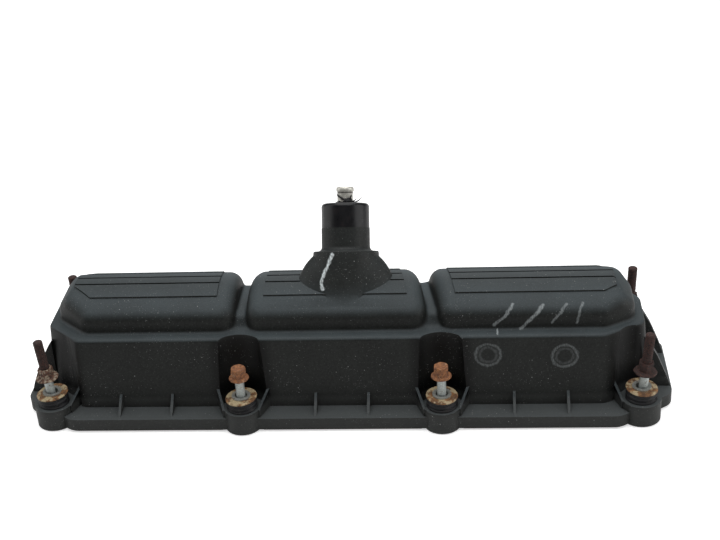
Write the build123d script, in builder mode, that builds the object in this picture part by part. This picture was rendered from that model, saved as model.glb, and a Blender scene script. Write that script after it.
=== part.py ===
from build123d import *
import os
from math import copysign, cos, radians, sin, sqrt, tan

# Every length is in millimetres. X runs along the cover, Y across it and Z up.
# The origin is on the gasket's face, under the middle of the cover.

# Driving dimensions of the moulded housing
WALL = 3.0
FLANGE_HALF_LENGTH = 217.0
SKIRT_END_INSET = 14.0
SKIRT_HALF_LENGTH = FLANGE_HALF_LENGTH - SKIRT_END_INSET
SKIRT_HALF_WIDTH = 43.0
SKIRT_CORNER_RADIUS = 12.0
SKIRT_DRAFT = 4.8
LEDGE_Z = 60.0
LEDGE_EDGE_RADIUS = 2.6

# Cut corners: run along X and rise along Y of each one, anticlockwise from the front right
QUARTERS = [(1, -1), (1, 1), (-1, 1), (-1, -1)]
SKIRT_CORNERS = [(31.0, 18.0), (22.0, 32.0), (31.0, 18.0), (27.0, 24.0)]
DOME_CORNERS = [(19.0, 11.0), (17.0, 20.0), (19.0, 11.0), (22.0, 19.0)]
FLANGE_CORNERS = [(36.0, 26.0)] * 4

# Driving dimensions of the three rocker domes
DOME_END_INSET = 11.0
DOME_HALF_LENGTH = SKIRT_HALF_LENGTH - DOME_END_INSET
DOME_HALF_WIDTH = 29.5
DOME_TOP_Z = 82.6
CROWN_RADIUS = 45.0
DOME_PLAN_RADIUS = 10.6
DOME_EDGE_RADIUS = 10.0
DOME_FOOT_RADIUS = 2.4
CROWN_FALL = CROWN_RADIUS - sqrt(CROWN_RADIUS ** 2 - DOME_HALF_WIDTH ** 2)
END_SLOPES = [(-11.0, CROWN_FALL + 1.5816), None, (12.5, CROWN_FALL + 1.4816)]
VALLEY_HALF_GAP = 3.5
SADDLE_Z = 68.0
SADDLE_HALF_LENGTH = 17.0
SADDLE_END_Y = 29.0
SADDLE_HALF_WIDTH = 14.0

# Raised strips on each crown: front edge and width of each one
STRIP_HEIGHT = 1.0
STRIP_INSET = 12.0
STRIPS = [(-16.2, 11.8), (-3.0, 7.4), (5.8, 6.9), (14.0, 6.0)]

# Flange, its bead groove and the shelf ribs
FLANGE_HALF_WIDTH = 57.0
FLANGE_BOTTOM_Z = 1.5
FLANGE_TOP_Z = 10.0
FLANGE_CORNER_RADIUS = 11.0
GASKET_EDGE = 1.8
GASKET_WIDTH = 4.0
GASKET_HEIGHT = 5.0
GASKET_BOLT_CLEARANCE = 2.4
GASKET_SIDE_CLEARANCE = 0.3
RIB_THICKNESS = 1.8
RIB_PITCH = 35.0
END_BOLT_INSET = 22.0
END_BOLT_X = FLANGE_HALF_LENGTH - END_BOLT_INSET
FRONT_BOLT_X = 66.0
MIDWAY = (END_BOLT_X + FRONT_BOLT_X) / 2
RIB_GROUPS = (-MIDWAY - 0.8, 0.0, MIDWAY)
RIB_TOP_Z = 20.0
RIB_OUTER_Y = 54.0

# Plates at each end, from the skirt out to the flange's rim: how far in from the rim and how
# high each point of the sloping edge is
END_WEB_Y = 20.0
END_WEB_THICKNESS = 5.0
END_WEB_EDGE = [(20.0, 50.0), (16.5, 45.0), (10.0, 33.5), (3.4, 18.0), (0.3, 9.0)]

# Bolt stations: name, X, Y, boss radius, outward lean in degrees, True for a stud
STATIONS = [
    ("front_left_end", -END_BOLT_X, -43.0, 13.0, -3.9, True),
    ("front_left", -FRONT_BOLT_X, -50.0, 12.3, 0.0, False),
    ("front_right", FRONT_BOLT_X, -50.0, 12.3, 0.0, False),
    ("front_right_end", END_BOLT_X, -43.0, 13.0, 4.4, True),
    ("rear_left_end", -END_BOLT_X, 43.0, 13.0, -2.0, True),
    ("rear_left", -66.0, 50.0, 12.3, 0.0, False),
    ("rear_right", 48.0, 50.0, 12.3, 0.0, False),
    ("rear_right_end", END_BOLT_X, 43.0, 13.0, 2.0, True),
]
RECESS_RADIUS = 18.0
BOSS_BOTTOM_Z = 0.6
BOSS_TOP_Z = 15.5
BOSS_FLOOR = 2.6
CHEEK_THICKNESS = 1.8
CHEEK_TOP_Z = 24.0
CHEEK_LENGTH = 15.2
CHEEK_SPREAD = 5.9
CHEEK_START = 5.0

# Sealing stack at each bolt
GROMMET_RADIUS = 10.2
GROMMET_FIT = 0.1
GROMMET_NECK_RADIUS = 9.2
GROMMET_NECK_Z = 17.0
GROMMET_NECK_HEIGHT = 1.4
SLEEVE_RADIUS = 5.2
SLEEVE_BORE_RADIUS = 4.0
SLEEVE_FIT = 0.05
SLEEVE_HOLE_FIT = 0.3
LIP_RADIUS = 6.2
LIP_HEIGHT = 0.7
WASHER_RADIUS = 10.4
WASHER_THICKNESS = 1.5
WASHER_TOP_Z = 23.7

# Bolts and studs
THREAD_RADIUS = 3.1
BOLT_LENGTH = 37.4
BOLT_FLANGE_RADIUS = 6.5
STUD_LENGTH = 34.6
STUD_FLANGE_RADIUS = 7.5
HEAD_FLANGE_HEIGHT = 1.8
HEX_ACROSS_FLATS = 8.8
HEAD_HEIGHT = 8.2
STUD_TOP_LENGTH = 20.7
TIP_CHAMFER = 0.8
HEX_CHAMFER = 0.6

# Breather tower: it leans back from the middle dome
TOWER_X = 2.9
TOWER_Y = -1.8
TOWER_Z = 65.7
TOWER_LEAN = 30.0
COLLAR_RADIUS = 22.0
COLLAR_DRAFT = 2.7
COLLAR_TOP = 34.0
NECK_RADIUS = 16.2
NECK_LENGTH = 15.5
NECK_TOP = COLLAR_TOP + NECK_LENGTH
NECK_FOOT_RADIUS = 3.0
TOWER_BORE_RADIUS = 12.5
SWELL_HALF_WIDTH = 33.2
SWELL_HALF_DEPTH = 17.1
SWELL_FORWARD = 4.0
SWELL_HEIGHT = 6.0
SWELL_TOP = 33.0
COLLAR_EDGE_RADIUS = 1.2
CHAMBER_DROP = 6.0

# Rubber cap and the valve that it holds
CAP_RADIUS = 16.0
CAP_EDGE_RADIUS = 2.5
CAP_SPIGOT_LENGTH = 9.0
CAP_FIT = 0.1
VALVE_RADIUS = 8.0
VALVE_RISE = 11.5
VALVE_SHOULDER = NECK_TOP + VALVE_RISE
VALVE_LENGTH = 39.0
VALVE_BOTTOM = VALVE_SHOULDER - VALVE_LENGTH
CAP_COVER = 5.0
CAP_TOP = VALVE_SHOULDER + CAP_COVER
VALVE_WALL = 1.6
NIPPLE_RADIUS = 5.3
NIPPLE_BORE_RADIUS = 2.8
NIPPLE_RISE = 11.0
NIPPLE_TOP = CAP_TOP + NIPPLE_RISE
BEAD_RADIUS = 5.95
BEAD_HEIGHT = 2.6
BEAD_DROP = 0.9
VALVE_FIT = 0.05
INLET_THICKNESS = 1.5
INLET_RADIUS = 2.6
PINTLE_HEAD_RADIUS = 5.6
PINTLE_HEAD_HEIGHT = 2.4
PINTLE_STEM_RADIUS = 2.2
PINTLE_LENGTH = 34.0
PINTLE_TAPER = 9.0
PINTLE_TIP_RADIUS = 1.1
SEAT_GAP = 0.3
SPRING_RADIUS = 4.4
SPRING_WIRE_RADIUS = 0.4
SPRING_TURNS = 6
HOSE_RADIUS = 6.8
HOSE_HEIGHT = 2.2
HOSE_NOTCH_RADIUS = 1.5

# Oil baffle under the middle dome
BAFFLE_Z = 64.0
BAFFLE_THICKNESS = 2.0
BAFFLE_MARGIN = 2.5
BAFFLE_SLOT_LENGTH = 16.0
BAFFLE_SLOT_WIDTH = 4.0
POST_RADIUS = 4.0
POST_X = 36.0
POST_Y = 14.0
SCREW_RADIUS = 1.5
SCREW_CLEARANCE = 0.2
SCREW_HEAD_RADIUS = 3.4
SCREW_HEAD_HEIGHT = 2.2
SCREW_LENGTH = 9.0

OUTSIDE = 200.0
TOUCH = 0.01
TOWER = Plane(
    origin=(TOWER_X, TOWER_Y, TOWER_Z),
    x_dir=(1, 0, 0),
    z_dir=(0, sin(radians(TOWER_LEAN)), cos(radians(TOWER_LEAN))),
)
BOLTS = [(x, y) for _, x, y, _, _, _ in STATIONS]
BOLT_AT = {name: (x, y) for name, x, y, _, _, _ in STATIONS}
os.makedirs("parts", exist_ok=True)


def finish(piece, name):
    """Label a finished piece and write it."""
    piece.part.label = name
    export_step(piece.part, f"parts/{name}.step")


def octagon(half_x, half_y, cuts):
    """Corners of a rectangle whose four corners are cut off obliquely."""
    points = []
    for (run, rise), (sx, sy) in zip(cuts, QUARTERS):
        ends = [(sx * (half_x - run), sy * half_y), (sx * half_x, sy * (half_y - rise))]
        points += ends if sx != sy else ends[::-1]
    return points


def plan(points, inset, radius):
    """Face inside a polygon, drawn in by inset, with rounded corners."""
    with BuildSketch() as face:
        Polygon(*points, align=None)
        if inset:
            offset(amount=-inset, kind=Kind.INTERSECTION)
        fillet(face.vertices(), radius)
    return face.sketch


def skirt(inset):
    """Drafted block between the flange and the ledge."""
    points = octagon(SKIRT_HALF_LENGTH, SKIRT_HALF_WIDTH, SKIRT_CORNERS)
    with BuildPart() as block:
        with BuildSketch(Plane.XY.offset(FLANGE_BOTTOM_Z - inset)):
            add(plan(points, inset, SKIRT_CORNER_RADIUS - inset))
        extrude(amount=LEDGE_Z - FLANGE_BOTTOM_Z, taper=SKIRT_DRAFT)
        if not inset:
            fillet(block.faces().sort_by(Axis.Z)[-1].edges(), LEDGE_EDGE_RADIUS)
    return block.part


def valley_x(side, y):
    """X of the valley between two domes, which runs from bolt to bolt."""
    x0, y0 = BOLT_AT["front_" + side]
    x1, y1 = BOLT_AT["rear_" + side]
    return x0 + (x1 - x0) * (y - y0) / (y1 - y0)


def dome_corners():
    """Plan corners of the left, middle and right domes."""
    w = DOME_HALF_WIDTH
    ends = octagon(DOME_HALF_LENGTH, w, DOME_CORNERS)
    walls = {}
    for side in ("left", "right"):
        for sign in (-1, 1):
            walls[side, sign] = [(valley_x(side, y) + sign * VALLEY_HALF_GAP, y) for y in (-w, w)]
    left = ends[4:] + walls["left", -1]
    middle = [walls["right", -1][0], walls["right", -1][1]] + walls["left", 1][::-1]
    right = ends[:4] + walls["right", 1][::-1]
    return [left, middle, right]


def crown_prism(radius, bottom):
    """Bar under the crown's arc, as long as the cover."""
    centre_z = DOME_TOP_Z - CROWN_RADIUS
    with BuildPart() as bar:
        with BuildSketch(Plane.YZ):
            with Locations((0, centre_z)):
                Circle(radius)
            with Locations((0, bottom)):
                Rectangle(OUTSIDE, OUTSIDE, align=(Align.CENTER, Align.MAX), mode=Mode.SUBTRACT)
        extrude(amount=DOME_HALF_LENGTH + WALL, both=True)
    return bar.part


def end_slope(slope, rise):
    """Plane that cuts the outer end of a crown obliquely, moved out by a rise."""
    run, drop = slope
    way = Vector(copysign(drop, run), 0, abs(run)).normalized()
    edge = Vector(copysign(DOME_HALF_LENGTH, run) - run, 0, DOME_TOP_Z)
    return Plane(origin=edge + way * rise, z_dir=way)


def dome(points, slope, inset):
    """One rocker dome, or the hollow in it when it is drawn in by the wall."""
    bottom = LEDGE_Z - WALL - 1 - inset
    with BuildPart() as shape:
        with BuildSketch(Plane.XY.offset(bottom)):
            add(plan(points, inset, DOME_PLAN_RADIUS - inset))
        extrude(amount=OUTSIDE)
        add(crown_prism(CROWN_RADIUS - inset, bottom), mode=Mode.INTERSECT)
        if slope:
            split(bisect_by=end_slope(slope, -inset), keep=Keep.BOTTOM)
        rims = shape.edges().filter_by(Axis.Z, reverse=True)
        fillet(rims.filter_by_position(Axis.Z, bottom + 1, OUTSIDE), DOME_EDGE_RADIUS - inset)
    return shape.part


def strips(points, slope):
    """Raised strips on one dome's crown."""
    with BuildPart() as pads:
        with BuildSketch(Plane.XY.offset(LEDGE_Z)):
            with BuildSketch(mode=Mode.PRIVATE) as field:
                Polygon(*points, align=None)
                offset(amount=-STRIP_INSET, kind=Kind.INTERSECTION)
            for front, width in STRIPS:
                with Locations((0, front)):
                    Rectangle(2 * DOME_HALF_LENGTH, width, align=(Align.CENTER, Align.MIN))
            add(field.sketch, mode=Mode.INTERSECT)
        extrude(amount=OUTSIDE)
        add(crown_prism(CROWN_RADIUS + STRIP_HEIGHT, LEDGE_Z), mode=Mode.INTERSECT)
        if slope:
            split(bisect_by=end_slope(slope, 0), keep=Keep.BOTTOM)
    return pads.part


def saddle(side, inset):
    """Floor of a valley, which falls in an S curve to the ledge at both ends."""
    bottom = LEDGE_Z - WALL - 1 - inset
    foot, top = LEDGE_Z - inset, SADDLE_Z - inset
    reach = SADDLE_HALF_WIDTH - inset
    ends = [(valley_x(side, sign * SADDLE_END_Y), sign * SADDLE_END_Y) for sign in (-1, 1)]
    with BuildPart() as bar:
        with BuildSketch(Plane.YZ):
            with BuildLine():
                for sign in (-1, 1):
                    near, far = (sign * SADDLE_HALF_LENGTH, top), (sign * SADDLE_END_Y, foot)
                    Spline(near, far, tangents=[(sign, 0), (sign, 0)])
                    Line(far, (sign * SADDLE_END_Y, bottom))
                Line((-SADDLE_HALF_LENGTH, top), (SADDLE_HALF_LENGTH, top))
                Line((-SADDLE_END_Y, bottom), (SADDLE_END_Y, bottom))
            make_face()
        extrude(amount=DOME_HALF_LENGTH + WALL, both=True)
        with BuildSketch(Plane.XY.offset(bottom)) as band:
            Polygon(*[(x + side_x * reach, y) for side_x, pair in ((-1, ends), (1, ends[::-1]))
                      for x, y in pair], align=None)
        extrude(amount=OUTSIDE, mode=Mode.INTERSECT)
    return bar.part


def flange_outline(inset):
    """Face of the flange, whose cut corners run into the end bosses."""
    points = octagon(FLANGE_HALF_LENGTH, FLANGE_HALF_WIDTH, FLANGE_CORNERS)
    return plan(points, inset, FLANGE_CORNER_RADIUS - inset)


def gasket_region(inset):
    """Face inside the flange that stays clear of every bolt boss."""
    with BuildSketch() as face:
        add(flange_outline(GASKET_EDGE + inset))
        for _, x, y, radius, _, _ in STATIONS:
            with Locations((x, y)):
                Circle(radius + GASKET_BOLT_CLEARANCE + inset, mode=Mode.SUBTRACT)
    return face.sketch


def gasket_loop(side_clearance):
    """Closed band that the bead, or with a clearance its groove, fills."""
    with BuildSketch() as band:
        add(gasket_region(-side_clearance))
        add(gasket_region(GASKET_WIDTH + side_clearance), mode=Mode.SUBTRACT)
    return band.sketch


def cheek(x, y, boss_radius, side):
    """Thin wall from a boss's rim back to the skirt, rising as it goes."""
    inward = -1 if y > 0 else 1
    start = Vector(x + side * (boss_radius - CHEEK_THICKNESS / 2), y - inward * CHEEK_START, 0)
    along = Vector(side * CHEEK_SPREAD, inward * CHEEK_LENGTH, 0)
    face = Plane(origin=start, x_dir=along, z_dir=along.cross(Vector(0, 0, 1)))
    with BuildPart() as wall:
        with BuildSketch(face):
            Polygon((0, FLANGE_BOTTOM_Z), (along.length, FLANGE_BOTTOM_Z),
                    (along.length, CHEEK_TOP_Z), (0, BOSS_TOP_Z), align=None)
        extrude(amount=CHEEK_THICKNESS / 2, both=True)
    return wall.part


def rib(x, sign):
    """Triangular stiffener between the flange's shelf and the skirt."""
    root = SKIRT_HALF_WIDTH - WALL / 2
    with BuildPart() as web:
        with BuildSketch(Plane.YZ.offset(x)):
            Polygon((sign * RIB_OUTER_Y, FLANGE_BOTTOM_Z), (sign * RIB_OUTER_Y, FLANGE_TOP_Z),
                    (sign * root, RIB_TOP_Z), (sign * root, FLANGE_BOTTOM_Z), align=None)
        extrude(amount=RIB_THICKNESS / 2, both=True)
    return web.part


def end_web(side, y):
    """Plate between an end of the skirt and the flange's rim."""
    edge = [(side * (FLANGE_HALF_LENGTH - inset), z) for inset, z in END_WEB_EDGE]
    with BuildPart() as web:
        with BuildSketch(Plane.XZ.offset(-y)):
            Polygon((edge[0][0], edge[-1][1]), *edge, align=None)
        extrude(amount=END_WEB_THICKNESS / 2, both=True)
    return web.part


def turned(origin, axis, points, roundings=()):
    """Round piece: a profile of radius and height, turned about an axis."""
    up = Vector(*axis)
    out = Vector(0, 1, 0).cross(up).normalized()
    with BuildPart() as piece:
        with BuildSketch(Plane(origin=origin, x_dir=out, z_dir=out.cross(up))) as profile:
            Polygon(*points, align=None)
            for corner, radius in roundings:
                fillet(profile.vertices().sort_by_distance((*corner, 0))[0], radius)
        revolve(axis=Axis(origin, up))
    return piece.part


def tower_turned(points, roundings=()):
    """Round piece on the tower's axis."""
    return turned(tuple(TOWER.origin), tuple(TOWER.z_dir), points, roundings)


def upright(x, y, points, roundings=()):
    """Round piece that stands upright at one bolt."""
    return turned((x, y, 0), (0, 0, 1), points, roundings)


def ring(inner, outer, bottom, top):
    """Profile of a ring: inner and outer radius, lowest and highest height."""
    return [(inner, bottom), (outer, bottom), (outer, top), (inner, top)]


def swell(inset):
    """Flattened ball on the tower's axis, whose sides show beside the collar."""
    origin = TOWER.from_local_coords((0, -SWELL_FORWARD, SWELL_HEIGHT))
    across = Plane(origin=origin, x_dir=TOWER.x_dir, z_dir=TOWER.z_dir)
    with BuildPart() as ball:
        with BuildSketch(across):
            Ellipse(SWELL_HALF_WIDTH - inset, SWELL_HALF_DEPTH - inset)
            Rectangle(OUTSIDE, OUTSIDE, align=(Align.MIN, Align.CENTER), mode=Mode.INTERSECT)
        revolve(axis=Axis(across.origin, across.y_dir))
        add(tower_turned(ring(0, OUTSIDE, -OUTSIDE, SWELL_TOP - inset)), mode=Mode.INTERSECT)
    return ball.part


def tower_outside():
    """Drafted collar and neck, with a rounded step between them."""
    foot = COLLAR_RADIUS + (COLLAR_TOP + CHAMBER_DROP) * tan(radians(COLLAR_DRAFT))
    points = [(0, -CHAMBER_DROP), (foot, -CHAMBER_DROP), (COLLAR_RADIUS, COLLAR_TOP),
              (NECK_RADIUS, COLLAR_TOP), (NECK_RADIUS, NECK_TOP), (0, NECK_TOP)]
    roundings = [((NECK_RADIUS, COLLAR_TOP), NECK_FOOT_RADIUS),
                 ((COLLAR_RADIUS, COLLAR_TOP), COLLAR_EDGE_RADIUS)]
    return tower_turned(points, roundings)


def tower_inside():
    """Wide chamber under the collar and the bore in the neck."""
    chamber = COLLAR_RADIUS - WALL
    points = [(0, -CHAMBER_DROP), (chamber, -CHAMBER_DROP), (chamber, COLLAR_TOP - WALL),
              (TOWER_BORE_RADIUS, COLLAR_TOP - WALL), (TOWER_BORE_RADIUS, NECK_TOP),
              (0, NECK_TOP)]
    return tower_turned(points)


def touches(edge, shapes):
    """True for an edge whose middle lies on one of the shapes."""
    return any(shape.distance_to(edge @ 0.5) < TOUCH for shape in shapes)


# Skirt, domes and valley floors, with a rounding along the foot of each dome
dome_points = dome_corners()
domes = [dome(points, slope, 0) for points, slope in zip(dome_points, END_SLOPES)]
floors = [skirt(0)] + [saddle(side, 0) for side in ("left", "right")]
with BuildPart() as shell:
    add(floors)
    add(domes)
    feet = shell.edges().filter_by_position(Axis.Z, LEDGE_Z - TOUCH, SADDLE_Z + TOUCH)
    feet = [edge for edge in feet if touches(edge, domes) and touches(edge, floors)]
    fillet([edge for edge in feet if edge.bounding_box().max.Z < SADDLE_Z + TOUCH],
           DOME_FOOT_RADIUS)

outside_shapes = [shell.part, swell(0), tower_outside()]
outside_shapes += [strips(points, slope) for points, slope in zip(dome_points, END_SLOPES)]
for x in [group + side * RIB_PITCH / 2 for group in RIB_GROUPS for side in (-1, 1)]:
    outside_shapes += [rib(x, sign) for sign in (-1, 1)]
outside_shapes += [end_web(side, sign * END_WEB_Y) for side in (-1, 1) for sign in (-1, 1)]

boss_shapes = []
boss_hollows = []
bore_radius = GROMMET_RADIUS + GROMMET_FIT
bore_floor = BOSS_BOTTOM_Z + BOSS_FLOOR
for name, x, y, radius, lean, is_stud in STATIONS:
    boss_shapes.append(upright(x, y, ring(0, radius, BOSS_BOTTOM_Z, BOSS_TOP_Z)))
    # A corner boss has a cheek on its inner side only
    inner_sides = [-copysign(1, x)] if is_stud else [-1, 1]
    boss_shapes += [cheek(x, y, radius, side) for side in inner_sides]
    boss_hollows.append(upright(x, y, ring(0, bore_radius, bore_floor, CHEEK_TOP_Z)))
    boss_hollows.append(upright(x, y, ring(0, SLEEVE_RADIUS + SLEEVE_HOLE_FIT, 0, bore_floor)))

# Hollow of the skirt, which goes round the recess at each bolt
with BuildPart() as skirt_hollow:
    add(skirt(WALL))
    with Locations(*BOLTS):
        Cylinder(RECESS_RADIUS + WALL, OUTSIDE, mode=Mode.SUBTRACT)

hollows = [skirt_hollow.part, swell(WALL), tower_inside()]
hollows += [dome(points, slope, WALL) for points, slope in zip(dome_points, END_SLOPES)]
hollows += [saddle(side, WALL) for side in ("left", "right")]

# Posts inside the middle dome that carry the baffle
POSTS = [(TOWER_X + sx * POST_X, sy * POST_Y) for sx in (-1, 1) for sy in (-1, 1)]
baffle_top = BAFFLE_Z + BAFFLE_THICKNESS
crown_at_post = sqrt(CROWN_RADIUS ** 2 - (POST_Y + POST_RADIUS) ** 2)
post_top = DOME_TOP_Z - CROWN_RADIUS + crown_at_post - WALL / 4
posts = [upright(x, y, ring(SCREW_RADIUS, POST_RADIUS, baffle_top, post_top)) for x, y in POSTS]

with BuildPart() as cover_body:
    with BuildSketch(Plane.XY.offset(FLANGE_BOTTOM_Z)):
        add(flange_outline(0))
    extrude(amount=FLANGE_TOP_Z - FLANGE_BOTTOM_Z)
    add(outside_shapes)
    with Locations(*[(x, y, FLANGE_TOP_Z) for x, y in BOLTS]):
        Cylinder(RECESS_RADIUS, LEDGE_Z + 1 - FLANGE_TOP_Z, mode=Mode.SUBTRACT,
                 align=(Align.CENTER, Align.CENTER, Align.MIN))
    add(boss_shapes)
    add(hollows, mode=Mode.SUBTRACT)
    add(boss_hollows, mode=Mode.SUBTRACT)
    with BuildSketch(Plane.XY):
        add(gasket_loop(GASKET_SIDE_CLEARANCE))
    extrude(amount=GASKET_HEIGHT, mode=Mode.SUBTRACT)
    add(posts)
finish(cover_body, "cover_body")

with BuildPart() as perimeter_gasket:
    with BuildSketch(Plane.XY):
        add(gasket_loop(0))
    extrude(amount=GASKET_HEIGHT)
finish(perimeter_gasket, "perimeter_gasket")

# Baffle: a plate with gas slots, held by four screws
with BuildPart() as baffle_plate:
    with BuildSketch(Plane.XY.offset(BAFFLE_Z)):
        add(plan(dome_points[1], WALL + BAFFLE_MARGIN, DOME_PLAN_RADIUS - WALL - BAFFLE_MARGIN))
        with Locations(*POSTS):
            Circle(SCREW_RADIUS + SCREW_CLEARANCE, mode=Mode.SUBTRACT)
        with GridLocations(2 * POST_X - BAFFLE_SLOT_LENGTH, POST_Y, 2, 2):
            SlotOverall(BAFFLE_SLOT_LENGTH, BAFFLE_SLOT_WIDTH, rotation=90, mode=Mode.SUBTRACT)
    extrude(amount=BAFFLE_THICKNESS)
finish(baffle_plate, "baffle_plate")

for number, (x, y) in enumerate(POSTS, start=1):
    with BuildPart() as baffle_screw:
        add(upright(x, y, ring(0, SCREW_HEAD_RADIUS, BAFFLE_Z - SCREW_HEAD_HEIGHT, BAFFLE_Z)))
        add(upright(x, y, ring(0, SCREW_RADIUS, BAFFLE_Z, BAFFLE_Z + SCREW_LENGTH)))
    finish(baffle_screw, f"baffle_screw_{number}")

# Sealing stack, and the bolt or stud that it keeps, at each station
washer_bottom = WASHER_TOP_Z - WASHER_THICKNESS
lip_top = WASHER_TOP_Z + LIP_HEIGHT
hole_radius = SLEEVE_RADIUS + SLEEVE_FIT
neck_top = GROMMET_NECK_Z + GROMMET_NECK_HEIGHT
tip_radius = THREAD_RADIUS - TIP_CHAMFER
for name, x, y, radius, lean, is_stud in STATIONS:
    with BuildPart() as grommet:
        add(upright(x, y, ring(hole_radius, GROMMET_RADIUS, bore_floor, GROMMET_NECK_Z)))
        add(upright(x, y, ring(hole_radius, GROMMET_NECK_RADIUS, GROMMET_NECK_Z, neck_top)))
        add(upright(x, y, ring(hole_radius, GROMMET_RADIUS, neck_top, washer_bottom)))
    finish(grommet, f"grommet_{name}")
    with BuildPart() as sleeve:
        add(upright(x, y, ring(SLEEVE_BORE_RADIUS, SLEEVE_RADIUS, BOSS_BOTTOM_Z, lip_top)))
        add(upright(x, y, ring(SLEEVE_BORE_RADIUS, LIP_RADIUS, WASHER_TOP_Z, lip_top)))
    finish(sleeve, f"sleeve_{name}")
    with BuildPart() as washer:
        add(upright(x, y, ring(hole_radius, WASHER_RADIUS, washer_bottom, WASHER_TOP_Z)))
    finish(washer, f"washer_{name}")
    # The shank leans about the middle of its sleeve and stands on its tip
    angle = radians(lean)
    tip_z = tip_radius * abs(sin(angle))
    tip_x = x - ((BOSS_BOTTOM_Z + lip_top) / 2 - tip_z) * tan(angle)
    tip = (tip_x, y, tip_z)
    axis = (sin(angle), 0, cos(angle))
    length, flange_radius = BOLT_LENGTH, BOLT_FLANGE_RADIUS
    if is_stud:
        length, flange_radius = STUD_LENGTH, STUD_FLANGE_RADIUS
    flange_top = length + HEAD_FLANGE_HEIGHT
    shank = [(0, 0), (tip_radius, 0), (THREAD_RADIUS, TIP_CHAMFER), (THREAD_RADIUS, length),
             (flange_radius, length), (flange_radius, length + HEAD_FLANGE_HEIGHT / 2),
             (HEX_ACROSS_FLATS / 2, flange_top)]
    end = [(0, flange_top)]
    if is_stud:
        stud_top = length + HEAD_HEIGHT + STUD_TOP_LENGTH
        shank += [(THREAD_RADIUS, flange_top), (THREAD_RADIUS, stud_top - TIP_CHAMFER),
                  (tip_radius, stud_top)]
        end = [(0, stud_top)]
    with BuildPart() as bolt:
        add(turned(tip, axis, shank + end))
        with BuildSketch(Plane(origin=tip, z_dir=axis).offset(length)):
            RegularPolygon(HEX_ACROSS_FLATS / 2, 6, major_radius=False)
        extrude(amount=HEAD_HEIGHT)
        chamfer(bolt.faces().filter_by(Axis(tip, axis)).sort_by(
            Axis(tip, axis))[-2 if is_stud else -1].outer_wire().edges(), HEX_CHAMFER)
    finish(bolt, f"stud_{name}" if is_stud else f"bolt_{name}")

# Rubber cap, plugged into the neck
cap_bottom = NECK_TOP - CAP_SPIGOT_LENGTH
with BuildPart() as tower_cap:
    add(tower_turned(
        [(VALVE_RADIUS + VALVE_FIT, cap_bottom), (TOWER_BORE_RADIUS - CAP_FIT, cap_bottom),
         (TOWER_BORE_RADIUS - CAP_FIT, NECK_TOP), (CAP_RADIUS, NECK_TOP), (CAP_RADIUS, CAP_TOP),
         (NIPPLE_RADIUS + VALVE_FIT, CAP_TOP), (NIPPLE_RADIUS + VALVE_FIT, VALVE_SHOULDER),
         (VALVE_RADIUS + VALVE_FIT, VALVE_SHOULDER)],
        [((CAP_RADIUS, CAP_TOP), CAP_EDGE_RADIUS)]))
finish(tower_cap, "tower_cap")

# Breather valve: steel body with its nipple, inlet disc, pintle and spring
chamber_radius = VALVE_RADIUS - VALVE_WALL
chamber_top = VALVE_SHOULDER - VALVE_WALL
bead_top = NIPPLE_TOP - BEAD_DROP
bead_bottom = bead_top - BEAD_HEIGHT
with BuildPart() as pcv_valve_body:
    add(tower_turned(
        [(chamber_radius, VALVE_BOTTOM), (VALVE_RADIUS, VALVE_BOTTOM),
         (VALVE_RADIUS, VALVE_SHOULDER), (NIPPLE_RADIUS, VALVE_SHOULDER),
         (NIPPLE_RADIUS, bead_bottom), (BEAD_RADIUS, bead_bottom + BEAD_DROP),
         (BEAD_RADIUS, bead_top), (NIPPLE_RADIUS, NIPPLE_TOP), (NIPPLE_BORE_RADIUS, NIPPLE_TOP),
         (NIPPLE_BORE_RADIUS, chamber_top), (chamber_radius, chamber_top)]))
finish(pcv_valve_body, "pcv_valve_body")

inlet_top = VALVE_BOTTOM + INLET_THICKNESS
with BuildPart() as pcv_inlet_disc:
    add(tower_turned(ring(INLET_RADIUS, chamber_radius, VALVE_BOTTOM, inlet_top)))
finish(pcv_inlet_disc, "pcv_inlet_disc")

head_bottom = inlet_top + SEAT_GAP
head_top = head_bottom + PINTLE_HEAD_HEIGHT
pintle_top = head_bottom + PINTLE_LENGTH
with BuildPart() as pcv_pintle:
    add(tower_turned(
        [(0, head_bottom), (PINTLE_HEAD_RADIUS, head_bottom), (PINTLE_HEAD_RADIUS, head_top),
         (PINTLE_STEM_RADIUS, head_top), (PINTLE_STEM_RADIUS, pintle_top - PINTLE_TAPER),
         (PINTLE_TIP_RADIUS, pintle_top), (0, pintle_top)]))
finish(pcv_pintle, "pcv_pintle")

spring_bottom = head_top + SPRING_WIRE_RADIUS + SEAT_GAP / 2
spring_height = chamber_top - SPRING_WIRE_RADIUS - SEAT_GAP / 2 - spring_bottom
with BuildPart() as pcv_spring:
    with BuildLine() as coil:
        Helix(spring_height / SPRING_TURNS, spring_height, SPRING_RADIUS,
              center=TOWER.offset(spring_bottom).origin, direction=TOWER.z_dir)
    with BuildSketch(Plane(origin=coil.line @ 0, z_dir=coil.line % 0)):
        RegularPolygon(SPRING_WIRE_RADIUS, 6)
    sweep(path=coil.line, is_frenet=True)
finish(pcv_spring, "pcv_spring")

# Torn end of the hose that is left round the nipple
with BuildPart() as hose_remnant:
    add(tower_turned(ring(NIPPLE_RADIUS + VALVE_FIT, HOSE_RADIUS, CAP_TOP, CAP_TOP + HOSE_HEIGHT)))
    with Locations(TOWER.offset(CAP_TOP + HOSE_HEIGHT)):
        with PolarLocations(HOSE_RADIUS, 3):
            Sphere(HOSE_NOTCH_RADIUS, mode=Mode.SUBTRACT)
finish(hose_remnant, "hose_remnant")
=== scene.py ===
"""Dressing of a moulded engine valve cover.

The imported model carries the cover, its gasket and its sealing stacks. This
script gives every node a finish, and adds the rusty hardware, the lipped
rubber parts, the beaded nipple with its torn hose, and a plain studio.
"""

import logging
import math
from dataclasses import dataclass, field
from enum import Enum
from functools import cached_property

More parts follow.
